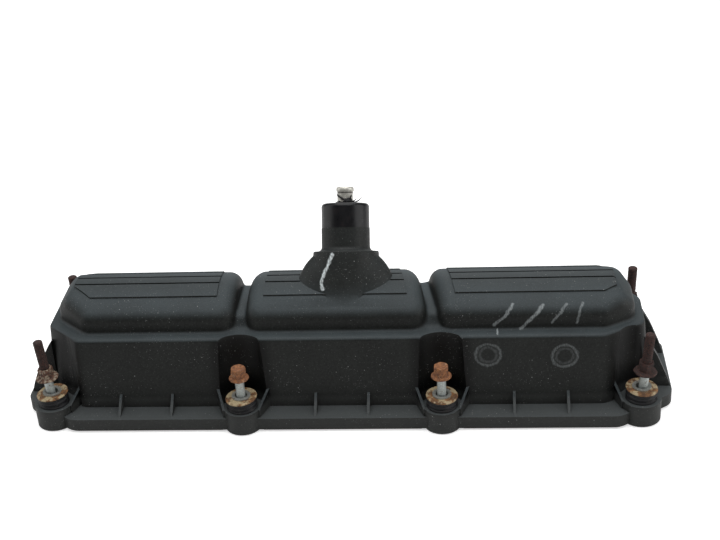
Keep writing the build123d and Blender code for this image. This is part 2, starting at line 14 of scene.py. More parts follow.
import bpy
import numpy as np
from mathutils import Matrix, Vector


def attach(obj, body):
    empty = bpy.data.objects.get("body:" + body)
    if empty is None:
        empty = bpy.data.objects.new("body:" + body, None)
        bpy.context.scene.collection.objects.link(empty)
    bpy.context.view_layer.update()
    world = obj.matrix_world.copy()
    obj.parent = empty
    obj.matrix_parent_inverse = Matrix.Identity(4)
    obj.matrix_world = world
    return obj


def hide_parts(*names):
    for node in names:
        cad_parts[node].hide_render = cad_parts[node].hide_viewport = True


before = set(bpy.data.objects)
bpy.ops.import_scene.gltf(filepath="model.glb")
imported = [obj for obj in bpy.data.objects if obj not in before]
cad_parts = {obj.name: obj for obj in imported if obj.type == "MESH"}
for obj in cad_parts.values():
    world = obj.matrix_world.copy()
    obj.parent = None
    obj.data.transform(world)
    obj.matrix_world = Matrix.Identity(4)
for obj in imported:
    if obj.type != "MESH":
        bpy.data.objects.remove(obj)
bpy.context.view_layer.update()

MM = 0.001
LOG = logging.getLogger("valve_cover")
Pair = tuple[float, float]
Colour = tuple[float, float, float]


# Mesh making

def grid_faces(rows: int, columns: int, wrap_rows: bool, wrap_columns: bool) -> np.ndarray:
    """Quads of a grid of points, worked out as one array.

    Args:
        rows: number of points down the grid.
        columns: number of points across it.
        wrap_rows: join the last row to the first.
        wrap_columns: join the last column to the first.

    Returns:
        An array of four vertex numbers for each face.
    """
    i = np.arange(rows if wrap_rows else rows - 1)
    j = np.arange(columns if wrap_columns else columns - 1)
    i, j = np.meshgrid(i, j, indexing="ij")
    down, across = (i + 1) % rows, (j + 1) % columns
    return np.stack([i * columns + j, i * columns + across,
                     down * columns + across, down * columns + j], axis=-1).reshape(-1, 4)


def make_piece(name: str, points: np.ndarray, faces: np.ndarray) -> bpy.types.Object:
    """Mesh object at the origin from points in metres and a face array.

    Args:
        name: the piece's name.
        points: an array of positions.
        faces: an array of four vertex numbers for each face.

    Returns:
        The linked object, smooth shaded.
    """
    mesh = bpy.data.meshes.new(name)
    mesh.from_pydata(points.reshape(-1, 3).tolist(), [], faces.tolist())
    mesh.validate()
    mesh.polygons.foreach_set("use_smooth", np.ones(len(mesh.polygons), bool))
    piece = bpy.data.objects.new(name, mesh)
    bpy.context.scene.collection.objects.link(piece)
    return piece


def soften(corners: list[Pair], radius: float, steps: int = 4) -> np.ndarray:
    """Closed profile whose corners are rounded by quadratic curves.

    Each corner P is replaced by the curve (1-t)^2 A + 2t(1-t) P + t^2 B, where
    A and B lie on the two edges, the radius away from P or less on short edges.

    Args:
        corners: the profile's corners.
        radius: how far along each edge the rounding reaches.
        steps: points on each rounded corner.

    Returns:
        An array of profile points.
    """
    p = np.array(corners, float)
    before, after = np.roll(p, 1, axis=0) - p, np.roll(p, -1, axis=0) - p
    reach = [np.minimum(radius / np.linalg.norm(e, axis=1), 0.45)[:, None] for e in (before, after)]
    t = np.linspace(0, 1, steps)[None, :, None]
    a, b = (p + before * reach[0])[:, None], (p + after * reach[1])[:, None]
    curve = (1 - t) ** 2 * a + 2 * t * (1 - t) * p[:, None] + t ** 2 * b
    return curve.reshape(-1, 2)


@dataclass(frozen=True)
class Spindle:
    """An axis in space that round pieces are turned about.

    Attributes:
        origin: a point on the axis, in millimetres.
        up: the axis's unit direction.
    """

    origin: tuple[float, float, float]
    up: tuple[float, float, float]

    def place(self, radius: np.ndarray, angle: np.ndarray, height: np.ndarray) -> np.ndarray:
        """Points at a radius, angle and height about the axis, in metres.

        Args:
            radius: distances from the axis.
            angle: angles about it, in radians.
            height: distances along it.

        Returns:
            An array of positions, one for each element of the inputs.
        """
        up = np.array(self.up, float)
        out = np.cross((0.0, 1.0, 0.0), up)
        out /= np.linalg.norm(out)
        aside = np.cross(up, out)
        radial = np.cos(angle)[..., None] * out + np.sin(angle)[..., None] * aside
        return (np.array(self.origin) + radius[..., None] * radial + height[..., None] * up) * MM

    def turn(self, name: str, profile: np.ndarray, segments: int = 64, ripple: float = 0.0,
             seed: int = 0, warp: float = 0.0, fixed: Pair = (6.2, 0.0)) -> bpy.types.Object:
        """Turned piece: the closed profile (radius, height) carried round the axis.

        A ripple shifts each radius by three slow sine waves of the angle, with
        phases drawn from the seed, so that worn edges aren't perfect circles.
        A warp lifts the side towards +X and lowers the other, by warp times
        cos(angle) times how far the point lies outside the fixed radius and
        above the fixed height.

        Args:
            name: the piece's name.
            profile: an array of (radius, height) in millimetres.
            segments: columns round the axis.
            ripple: largest radial shift in millimetres.
            seed: seed of the ripple's phases.
            warp: lift of the rim in millimetres.
            fixed: radius and height below which nothing is warped.

        Returns:
            The piece.
        """
        angle = np.linspace(0, 2 * math.pi, segments, endpoint=False)[None, :]
        phase = np.random.default_rng(seed).uniform(0, 2 * math.pi, 3)
        wave = sum(np.sin(k * angle + p) / k for k, p in zip((2, 3, 5), phase))
        out, up = profile[:, :1], profile[:, 1:]
        share = np.clip((out - fixed[0]) / 4, 0, 1) * np.clip((up - fixed[1]) / 4, 0, 1)
        points = self.place(out + ripple * wave, angle + 0 * out, up + warp * share * np.cos(angle))
        return make_piece(name, points, grid_faces(len(profile), segments, True, True))


# Shader making

class Bench:
    """Adds nodes to one material and links them."""

    def __init__(self, name: str) -> None:
        """Start a node material with a principled shader.

        Args:
            name: the material's name.
        """
        self.material = bpy.data.materials.new(name)
        self.material.use_nodes = True
        self.tree = self.material.node_tree
        self.tree.nodes.clear()
        self.shader = self.tree.nodes.new("ShaderNodeBsdfPrincipled")
        output = self.tree.nodes.new("ShaderNodeOutputMaterial")
        self.tree.links.new(self.shader.outputs[0], output.inputs[0])
        self.where = self.tree.nodes.new("ShaderNodeTexCoord").outputs["Object"]
        self.normal = self.tree.nodes.new("ShaderNodeNewGeometry").outputs["Normal"]

    def add(self, kind: str, inputs: dict, **settings) -> bpy.types.Node:
        """One node with its inputs set or linked.

        Args:
            kind: the node type's name after "ShaderNode".
            inputs: socket name or number to a value or another socket.
            settings: the node's own properties.

        Returns:
            The node.
        """
        node = self.tree.nodes.new("ShaderNode" + kind)
        for key, value in settings.items():
            setattr(node, key, value)
        for key, value in inputs.items():
            if isinstance(value, bpy.types.NodeSocket):
                self.tree.links.new(value, node.inputs[key])
            else:
                node.inputs[key].default_value = value
        return node

    def calc(self, operation: str, a, b=0.0, c=0.0, clamp: bool = False) -> bpy.types.NodeSocket:
        """Result of one Math node.

        Args:
            operation: the node's operation.
            a: first number or socket.
            b: second one.
            c: third one.
            clamp: keep the result between 0 and 1.

        Returns:
            The result's socket.
        """
        return self.add("Math", {0: a, 1: b, 2: c}, operation=operation, use_clamp=clamp).outputs[0]

    def noise(self, size: float, detail: float = 3.0, roughness: float = 0.5,
              where=None) -> bpy.types.NodeSocket:
        """Noise whose features are about the given size.

        Args:
            size: feature size in millimetres.
            detail: octaves.
            roughness: strength of the finer octaves.
            where: coordinates, or None for the object's own.

        Returns:
            The noise factor's socket.
        """
        node = self.add("TexNoise", {"Vector": where or self.where, "Scale": 1 / (size * MM),
                                     "Detail": detail, "Roughness": roughness})
        return node.outputs[0]

    def step(self, value, low: float, high: float) -> bpy.types.NodeSocket:
        """Smooth step of a value from 0 at low to 1 at high.

        Args:
            value: the value's socket.
            low: where the result is 0.
            high: where it is 1.

        Returns:
            The result's socket.
        """
        node = self.add("MapRange", {"Value": value, "From Min": low, "From Max": high},
                        interpolation_type="SMOOTHSTEP")
        return node.outputs[0]

    def mix(self, factor, a, b) -> bpy.types.NodeSocket:
        """Mix of two colours.

        Args:
            factor: 0 gives a and 1 gives b.
            a: first colour or socket.
            b: second one.

        Returns:
            The colour's socket.
        """
        a, b = [(*v, 1.0) if isinstance(v, tuple) else v for v in (a, b)]
        node = self.add("Mix", {0: factor, 6: a, 7: b}, data_type="RGBA")
        return node.outputs[2]

    def bump(self, height, distance: float, normal=None) -> bpy.types.NodeSocket:
        """Bump normal from a height.

        Args:
            height: the height's socket, 0 to 1.
            distance: height in millimetres that 1 stands for.
            normal: normal under this one, or None.

        Returns:
            The normal's socket.
        """
        inputs = {"Height": height, "Distance": distance * MM, "Strength": 1.0}
        if normal:
            inputs["Normal"] = normal
        return self.add("Bump", inputs).outputs[0]

    def finish(self, colour, roughness, normal=None, **constants: float) -> bpy.types.Material:
        """Link the shader's inputs and return the material.

        Args:
            colour: base colour or its socket.
            roughness: number or socket.
            normal: bump normal or None.
            constants: values set on the shader's own sockets.

        Returns:
            The material.
        """
        values = {"Base Color": colour, "Roughness": roughness}
        if normal:
            values["Normal"] = normal
        values.update({key.replace("_", " "): value for key, value in constants.items()})
        for key, value in values.items():
            socket = self.shader.inputs[key]
            if isinstance(value, bpy.types.NodeSocket):
                self.tree.links.new(value, socket)
            else:
                socket.default_value = (*value, 1.0) if isinstance(value, tuple) else value
        return self.material


@dataclass(frozen=True)
class Chalk:
    """Chalky marks on the cover's front, drawn in its sloping front plane.

    A mark's place is (x, rise), where rise is z plus SLOPE times y, all in
    millimetres. That plane faces up and forwards, as the domes' shoulders do.

    Attributes:
        strokes: the corners of each stroke.
        widths: half the width of each stroke.
        strengths: how much each stroke covers.
        rings: place and radius of each round mark.
        lines: the circles of a round mark, as a share of its radius and a strength.
    """

    SLOPE = 0.562
    FRONT = (0.0, -0.87, 0.49)
    strokes: tuple[tuple[Pair, ...], ...] = (
        ((-4.0, 101.3), (-7.5, 92.6), (-11.0, 84.4)),
        ((-10.8, 86.0), (-11.9, 79.2), (-10.9, 74.7)),
        ((112.5, 61.9), (108.6, 54.5), (100.5, 46.5)),
        ((132.0, 61.1), (128.2, 55.2), (118.0, 43.9)),
        ((146.7, 61.6), (142.9, 54.9), (137.9, 48.2)),
        ((157.5, 62.2), (155.1, 54.7), (153.3, 47.2)),
        ((102.1, 43.4), (102.7, 39.9)),
    )
    widths: tuple[float, ...] = (1.7, 1.4, 1.5, 1.6, 1.3, 1.2, 0.8)
    strengths: tuple[float, ...] = (1.0, 0.85, 0.29, 0.31, 0.22, 0.22, 0.36)
    rings: tuple[tuple[float, float, float], ...] = ((96.3, 24.6, 8.1), (145.5, 23.2, 8.1))
    lines: tuple[Pair, ...] = ((1.0, 0.13), (0.68, 0.06))

    def plane(self, bench: Bench) -> bpy.types.NodeSocket:
        """Coordinates (x, rise, 0) in millimetres.

        Args:
            bench: the material's bench.

        Returns:
            The vector's socket.
        """
        x = bench.add("VectorMath", {0: bench.where, 1: (1000, 0, 0)}, operation="DOT_PRODUCT")
        rise = bench.add("VectorMath", {0: bench.where, 1: (0, 1000 * self.SLOPE, 1000)},
                         operation="DOT_PRODUCT")
        return bench.add("CombineXYZ", {0: x.outputs["Value"], 1: rise.outputs["Value"]}).outputs[0]

    def segment(self, bench: Bench, at, a: Pair, b: Pair) -> bpy.types.NodeSocket:
        """Distance from a point to the segment from a to b.

        Args:
            bench: the material's bench.
            at: the point's socket.
            a: the segment's start.
            b: its end.

        Returns:
            The distance's socket, in millimetres.
        """
        along = (b[0] - a[0], b[1] - a[1], 0.0)
        square = along[0] ** 2 + along[1] ** 2
        offset = bench.add("VectorMath", {0: at, 1: (-a[0], -a[1], 0.0)}).outputs[0]
        share = bench.add("VectorMath", {0: offset, 1: tuple(v / square for v in along)},
                          operation="DOT_PRODUCT").outputs["Value"]
        share = bench.calc("MULTIPLY", share, 1.0, clamp=True)
        foot = bench.add("VectorMath", {0: along, "Scale": share}, operation="SCALE").outputs[0]
        gap = bench.add("VectorMath", {0: offset, 1: foot}, operation="SUBTRACT").outputs[0]
        return bench.add("VectorMath", {0: gap}, operation="LENGTH").outputs["Value"]

    def mask(self, bench: Bench) -> bpy.types.NodeSocket:
        """Coverage of the marks, 0 to 1, broken up by the grain under them.

        Args:
            bench: the material's bench.

        Returns:
            The coverage's socket.
        """
        at = self.plane(bench)
        wobble = bench.add("TexNoise", {"Vector": at, "Scale": 0.22, "Detail": 2.0}).outputs[1]
        shift = bench.add("VectorMath", {0: wobble, 1: (-0.5, -0.5, -0.5)}).outputs[0]
        shift = bench.add("VectorMath", {0: shift, 1: (2.4, 2.4, 0.0)}, operation="MULTIPLY")
        at = bench.add("VectorMath", {0: at, 1: shift.outputs[0]}).outputs[0]
        total = None
        for stroke, width, strength in zip(self.strokes, self.widths, self.strengths):
            gap = None
            for a, b in zip(stroke[:-1], stroke[1:]):
                here = self.segment(bench, at, a, b)
                gap = here if gap is None else bench.calc("MINIMUM", gap, here)
            drawn = bench.calc("MULTIPLY", bench.step(gap, width, width * 0.3), strength)
            total = drawn if total is None else bench.calc("MAXIMUM", total, drawn)
        for x, rise, radius in self.rings:
            offset = bench.add("VectorMath", {0: at, 1: (-x, -rise, 0.0)}).outputs[0]
            away = bench.add("VectorMath", {0: offset}, operation="LENGTH").outputs["Value"]
            for size, strength in self.lines:
                gap = bench.calc("ABSOLUTE", bench.calc("SUBTRACT", away, radius * size))
                drawn = bench.calc("MULTIPLY", bench.step(gap, 1.5, 0.2), strength)
                total = bench.calc("MAXIMUM", total, drawn)
        streaky = bench.add("VectorMath", {0: at, 1: (1.1, 0.32, 0.0)}, operation="MULTIPLY")
        streak = bench.add("TexNoise", {"Vector": streaky.outputs[0], "Scale": 1.3, "Detail": 3.0})
        rub = bench.step(streak.outputs[0], 0.36, 0.62)
        total = bench.calc("MULTIPLY", total, bench.calc("MULTIPLY_ADD", rub, 0.6, 0.4))
        toward = bench.add("VectorMath", {0: bench.normal, 1: self.FRONT},
                           operation="DOT_PRODUCT").outputs["Value"]
        total = bench.calc("MULTIPLY", total, bench.step(toward, 0.1, 0.35))
        y = bench.add("SeparateXYZ", {0: bench.where}).outputs[1]
        return bench.calc("MULTIPLY", total, bench.calc("LESS_THAN", y, 0.004))


@dataclass(frozen=True)
class MouldedNylon:
    """Charcoal glass-filled nylon with dust and painted sheen on what faces up, and painted shade in
    the bolts' pockets.

    Attributes:
        name: the material's name.
        base: colour of clean plastic.
        dust_and_sheen_colour: colour of the dust and of the painted sheen on what faces up.
        settled: colour of the dust that lies on the flange, its shelf and the bosses.
        speck: colour of the specks.
        chalky: colour of the chalk marks.
        pocket_shade_share: share of the plastic's brightness that is left in the bolts' pockets, where
            it is darkened as painted shade.
        roughness: middle roughness.
        marked: whether the chalk marks are drawn on it.
        pockets: distances along and across the cover of the bolts' pockets.
    """

    name: str = "moulded_nylon"
    base: Colour = (0.0102, 0.0111, 0.0103)
    dust_and_sheen_colour: Colour = (0.064, 0.080, 0.087)
    settled: Colour = (0.10, 0.103, 0.10)
    speck: Colour = (0.36, 0.37, 0.36)
    chalky: Colour = (0.72, 0.78, 0.79)
    pocket_shade_share: float = 0.12
    roughness: float = 0.44
    marked: bool = False
    pockets: tuple[Pair, ...] = (
        (-195.0, -43.0), (-66.0, -50.0), (66.0, -50.0), (195.0, -43.0),
        (-195.0, 43.0), (-66.0, 50.0), (48.0, 50.0), (195.0, 43.0))

    def specks(self, b: Bench, size: float, radius: float, share: float) -> bpy.types.NodeSocket:
        """Scattered round specks, one in some cells of a grid.

        Args:
            b: the material's bench.
            size: size of a cell in millimetres.
            radius: radius of a speck, as a share of the cell.
            share: share of the cells that hold a speck.

        Returns:
            The specks' coverage.
        """
        cells = b.add("TexVoronoi", {"Vector": b.where, "Scale": 1 / (size * MM)}, feature="F1")
        draw = b.add("SeparateXYZ", {0: cells.outputs["Color"]}).outputs[0]
        spot = b.step(cells.outputs["Distance"], radius, radius * 0.4)
        return b.calc("MULTIPLY", spot, b.calc("GREATER_THAN", draw, 1 - share))

    def painted_pocket_shade(self, b: Bench) -> bpy.types.NodeSocket:
        """How far a point lies in a bolt's pocket, where the plastic is darkened as painted shade.

        Args:
            b: the material's bench.

        Returns:
            1 in the pockets and 0 away from them.
        """
        place = b.add("VectorMath", {0: b.where, 1: (1000, 1000, 0)}, operation="MULTIPLY").outputs[0]
        gap = None
        for pocket in self.pockets:
            here = b.add("VectorMath", {0: place, 1: (*pocket, 0)}, operation="DISTANCE")
            here = here.outputs["Value"]
            gap = here if gap is None else b.calc("MINIMUM", gap, here)
        z = b.add("SeparateXYZ", {0: b.where}).outputs[2]
        low = b.calc("MULTIPLY", b.step(z, 0.012, 0.018), b.step(z, 0.063, 0.056))
        return b.calc("MULTIPLY", b.step(gap, 26.0, 17.0), low)

    def make(self) -> bpy.types.Material:
        """The finish as a material."""
        b = Bench(self.name)
        cloud = b.noise(26.0, 4.0, 0.55)
        fine = b.noise(0.55, 2.0, 0.6)
        mottle = b.step(b.noise(1.3, 2.0, 0.6), 0.35, 0.65)
        grey = b.calc("MULTIPLY_ADD", mottle, 0.6, b.calc("MULTIPLY", b.step(cloud, 0.35, 0.7), 0.4))
        base = b.mix(grey, self.base, tuple(v * 1.9 for v in self.base))
        # Painted shade: the plastic is darkened in and around the bolts' pockets.
        base = b.mix(self.painted_pocket_shade(b), base, tuple(v * self.pocket_shade_share for v in self.base))
        up = b.add("SeparateXYZ", {0: b.normal}).outputs[2]
        # Dust and painted sheen on what faces up.
        dust_and_sheen = b.calc("MULTIPLY", b.step(up, 0.25, 0.93), b.calc("MULTIPLY_ADD", cloud, 0.5, 0.45))
        place = b.add("SeparateXYZ", {0: b.where})
        # Painted sheen: what lies further back is made lighter.
        painted_rear_sheen = b.step(place.outputs[1], -0.012, 0.014)
        tower = b.step(place.outputs[2], 0.080, 0.088)
        dust_and_sheen = b.calc("MULTIPLY", dust_and_sheen, b.calc("MULTIPLY_ADD", painted_rear_sheen, 0.35, 1.0))
        dust_and_sheen = b.calc("MULTIPLY", dust_and_sheen, b.calc("MULTIPLY_ADD", tower, -0.85, 1.0))
        dust_and_sheen = b.calc("MULTIPLY", dust_and_sheen, b.calc("MULTIPLY_ADD", fine, 1.1, 0.25), clamp=True)
        colour = b.mix(dust_and_sheen, base, self.dust_and_sheen_colour)
        layer = b.calc("MULTIPLY_ADD", b.step(up, 0.3, 0.9), 0.2, 0.21)
        low = b.calc("MULTIPLY", b.step(place.outputs[2], 0.019, 0.015), layer)
        colour = b.mix(low, colour, self.settled)
        crowd = b.step(b.noise(42.0, 2.0), 0.42, 0.62)
        faint = b.calc("MULTIPLY_ADD", crowd, 0.24, 0.1)
        small = b.calc("MULTIPLY", self.specks(b, 1.0, 0.27, 0.3), faint)
        bright = b.calc("MULTIPLY_ADD", crowd, 0.5, 0.2)
        large = b.calc("MULTIPLY", self.specks(b, 2.6, 0.16, 0.18), bright)
        colour = b.mix(b.calc("MAXIMUM", small, large), colour, self.speck)
        if self.marked:
            colour = b.mix(Chalk().mask(b), colour, self.chalky)
        grain = b.bump(fine, 0.035, b.bump(b.noise(3.5, 3.0), 0.05))
        rough = b.calc("MULTIPLY_ADD", dust_and_sheen, 0.2, self.roughness)
        rough = b.calc("MULTIPLY_ADD", cloud, 0.1, rough)
        return b.finish(colour, rough, grain, Specular_IOR_Level=0.22)


@dataclass(frozen=True)
class Rubber:
    """Moulded rubber, with a faint bloom of dust.

    Attributes:
        name: the material's name.
        base: colour of the rubber.
        bloom: colour of the dust on it.
        roughness: middle roughness.
        grain: depth of the grain in millimetres.
    """

    name: str
    base: Colour = (0.013, 0.013, 0.0145)
    bloom: Colour = (0.06, 0.055, 0.05)
    roughness: float = 0.45
    grain: float = 0.02

    def make(self) -> bpy.types.Material:
        """The finish as a material."""
        b = Bench(self.name)
        patch = b.noise(4.5, 4.0, 0.6)
        colour = b.mix(b.calc("MULTIPLY", b.step(patch, 0.5, 0.8), 0.6), self.base, self.bloom)
        rough = b.calc("MULTIPLY_ADD", patch, 0.3, self.roughness - 0.1)
        return b.finish(colour, rough, b.bump(b.noise(0.5, 2.0), self.grain), Specular_IOR_Level=0.3)


@dataclass(frozen=True)
class CorrodedSteel:
    """Steel that is part plated and part rusted.

    Attributes:
        name: the material's name.
        plate: colour of the plating that is left.
        rust: colour of most of the rust.
        stain: colour of the darkest rust.
        cover: share of the surface that the rust takes, 0 to 1.
        patch: size of the rust patches in millimetres.
        pit: depth of the pitting in millimetres.
        smooth: roughness of the plating.
        metal: metalness of the plating.
        painted_crease_shade: heights on the tower's axis between which a dark band of painted shade
            lies under the bead, in metres.
    """

    name: str
    plate: Colour
    rust: Colour
    stain: Colour
    cover: float
    patch: float = 3.0
    pit: float = 0.08
    smooth: float = 0.42
    metal: float = 0.75
    painted_crease_shade: Pair | None = None

    def make(self) -> bpy.types.Material:
        """The finish as a material."""
        b = Bench(self.name)
        spread = b.noise(self.patch, 5.0, 0.6)
        edge = 0.5 + (0.5 - self.cover) * 0.55
        rusty = b.step(spread, edge - 0.05, edge + 0.05)
        tone = b.step(b.noise(self.patch * 0.45, 4.0, 0.65), 0.35, 0.68)
        rust = b.mix(tone, self.stain, self.rust)
        dull = tuple(v * 0.72 for v in self.plate)
        light = b.mix(b.step(b.noise(0.8, 3.0), 0.45, 0.7), dull, self.plate)
        colour = b.mix(rusty, light, rust)
        # Painted shade: a dark band round the valve under the nipple's bead.
        if self.painted_crease_shade:
            along = b.add("VectorMath", {0: b.where, 1: Breather.UP}, operation="DOT_PRODUCT")
            middle, half = sum(self.painted_crease_shade) / 2, (self.painted_crease_shade[1] - self.painted_crease_shade[0]) / 2
            gap = b.calc("ABSOLUTE", b.calc("SUBTRACT", along.outputs["Value"], middle))
            crease_shade = b.calc("MULTIPLY", b.step(gap, half * 1.5, half * 0.5), 0.9)
            colour = b.mix(crease_shade, colour, (0.03, 0.026, 0.022))
        rough = b.calc("MULTIPLY_ADD", rusty, 0.82 - self.smooth, self.smooth)
        metal = b.calc("MULTIPLY_ADD", rusty, -self.metal, self.metal, clamp=True)
        height = b.calc("MULTIPLY_ADD", rusty, b.noise(0.6, 4.0, 0.7), b.noise(1.2, 2.0))
        b.tree.links.new(metal, b.shader.inputs["Metallic"])
        return b.finish(colour, rough, b.bump(height, self.pit))


class Finish(Enum):
    """Every finish of the part, made once."""

    COVER = MouldedNylon(marked=True)
    BAFFLE = MouldedNylon("baffle_plastic", roughness=0.6)
    GASKET = Rubber("gasket_rubber", (0.14, 0.085, 0.058), (0.20, 0.15, 0.11), 0.6)
    GROMMET = Rubber("grommet_rubber")
    CAP = Rubber("cap_rubber", (0.0048, 0.0048, 0.0058), (0.013, 0.0085, 0.009), 0.27, 0.003)
    HOSE = Rubber("torn_hose_rubber", (0.008, 0.008, 0.009), (0.03, 0.03, 0.03), 0.6)
    SLEEVE = CorrodedSteel("sleeve_steel", (0.42, 0.43, 0.40), (0.22, 0.13, 0.07),
                           (0.08, 0.05, 0.035), 0.3, 2.5, metal=0.4)
    WASHER = CorrodedSteel("washer_steel", (0.56, 0.45, 0.27), (0.28, 0.135, 0.05),
                           (0.085, 0.042, 0.022), 0.52, 5.5, 0.12, 0.5, 0.15)
    SHANK = CorrodedSteel("shank_zinc", (0.60, 0.65, 0.63), (0.30, 0.27, 0.23),
                          (0.16, 0.14, 0.12), 0.25, 2.0, 0.04, 0.5, 0.35)
    HEX = CorrodedSteel("rusty_hexagon", (0.52, 0.36, 0.22), (0.34, 0.14, 0.05),
                        (0.13, 0.055, 0.03), 0.78, 3.2, 0.1, 0.55, 0.2)
    STUD = CorrodedSteel("rusty_stud", (0.065, 0.032, 0.024), (0.058, 0.021, 0.015),
                         (0.013, 0.008, 0.007), 0.88, 2.4, 0.10, 0.5, 0.3)
    CRUST = CorrodedSteel("crusted_stud", (0.36, 0.29, 0.21), (0.15, 0.065, 0.036),
                          (0.04, 0.024, 0.018), 0.56, 2.4, 0.12, 0.6, 0.1)
    # The last pair places the painted shade band under the nipple's bead.
    VALVE = CorrodedSteel("valve_steel", (0.80, 0.78, 0.70), (0.36, 0.30, 0.22),
                          (0.12, 0.10, 0.07), 0.22, 2.4, 0.03, 0.28, 0.34, (0.1287, 0.1295))
    BRIGHT = CorrodedSteel("bright_steel", (0.6, 0.6, 0.6), (0.4, 0.36, 0.3),
                           (0.3, 0.28, 0.25), 0.1, 2.0, 0.03)

    @cached_property
    def material(self) -> bpy.types.Material:
        """The finish's material, made on first use."""
        return self.value.make()


def dress(piece: bpy.types.Object, finish: Finish, body: str = "",
          replaces: tuple[str, ...] = ()) -> bpy.types.Object:
    """Give a piece its finish, body, material slot and the nodes it stands for.

    Args:
        piece: the new piece, or a node of the frame.
        finish: its finish.
        body: the body that it rides on, or nothing for a node of the frame.
        replaces: names of the nodes that it stands for.

    Returns:
        The piece.
    """
    piece.data.materials.clear()
    piece.data.materials.append(finish.material)
    if body:
        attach(piece, body)
    if replaces:
        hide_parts(*replaces)
    LOG.info("%s: %s on %s", piece.name, finish.name.lower(), body or "its own body")
    return piece


# Dressing of the frame's own nodes

def polish(name: str, finish: Finish, crisp: float = 38.0) -> bpy.types.Object:
    """Finish a node of the frame, with smooth shading between crisp edges.

    Args:
        name: the node's name.
        finish: its finish.
        crisp: angle in degrees from which an edge stays sharp.

    Returns:
        The node.
    """
    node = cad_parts[name]
    mesh = node.data
    for attribute in ("custom_normal", "sharp_edge", "sharp_face"):
        if attribute in mesh.attributes:
            mesh.attributes.remove(mesh.attributes[attribute])
    mesh.polygons.foreach_set("use_smooth", np.ones(len(mesh.polygons), bool))
    node.modifiers.new("Joined", "WELD").merge_threshold = 0.02 * MM
    node.modifiers.new("Crisp", "EDGE_SPLIT").split_angle = math.radians(crisp)
    return dress(node, finish)


def tube(name: str, path: list[tuple[float, float, float]], radii: Pair, sides: int = 10,
         rings: int = 24, wobble: float = 0.0, seed: int = 0) -> bpy.types.Object:
    """Tapering strand along a bent path, closed at both ends.

    The path is a quadratic curve through three points: P(t) = (1-t)^2 A +
    2t(1-t) B + t^2 C. Each ring lies in a plane across the curve.

    Args:
        name: the piece's name.
        path: the three points, in millimetres.
        radii: radius at the start and at the end.
        sides: columns round the strand.
        rings: rows along it.
        wobble: largest random change of a ring's radius, as a share.
        seed: seed of the wobble.

    Returns:
        The piece.
    """
    t = np.linspace(0, 1, rings)[:, None]
    a, b, c = (np.array(p, float) for p in path)
    line = (1 - t) ** 2 * a + 2 * t * (1 - t) * b + t ** 2 * c
    run = np.gradient(line, axis=0)
    run /= np.linalg.norm(run, axis=1)[:, None]
    side = np.cross(run, (0.31, 0.87, 0.38))
    side /= np.linalg.norm(side, axis=1)[:, None]
    other = np.cross(run, side)
    radius = radii[0] + (radii[1] - radii[0]) * t
    radius = radius * (1 + wobble * np.random.default_rng(seed).uniform(-1, 1, t.shape))
    radius[0] = radius[-1] = 0.01
    angle = np.linspace(0, 2 * math.pi, sides, endpoint=False)[None, :, None]
    rims = np.cos(angle) * side[:, None] + np.sin(angle) * other[:, None]
    points = (line[:, None] + radius[:, None] * rims) * MM
    return make_piece(name, points, grid_faces(rings, sides, False, True))


@dataclass
class Housing:
    """The moulding with its gasket, and what is screwed up under its domes.

    Attributes:
        finishes: finish of each node of the frame that needs no new shape.
    """

    finishes: dict[str, Finish] = field(default_factory=lambda: {
        "cover_body": Finish.COVER,
        "perimeter_gasket": Finish.GASKET,
        "baffle_plate": Finish.BAFFLE,
        **{f"baffle_screw_{n}": Finish.BRIGHT for n in (1, 2, 3, 4)},
    })

    def build(self) -> None:
        """Finish the nodes."""
        for name, finish in self.finishes.items():
            polish(name, finish)


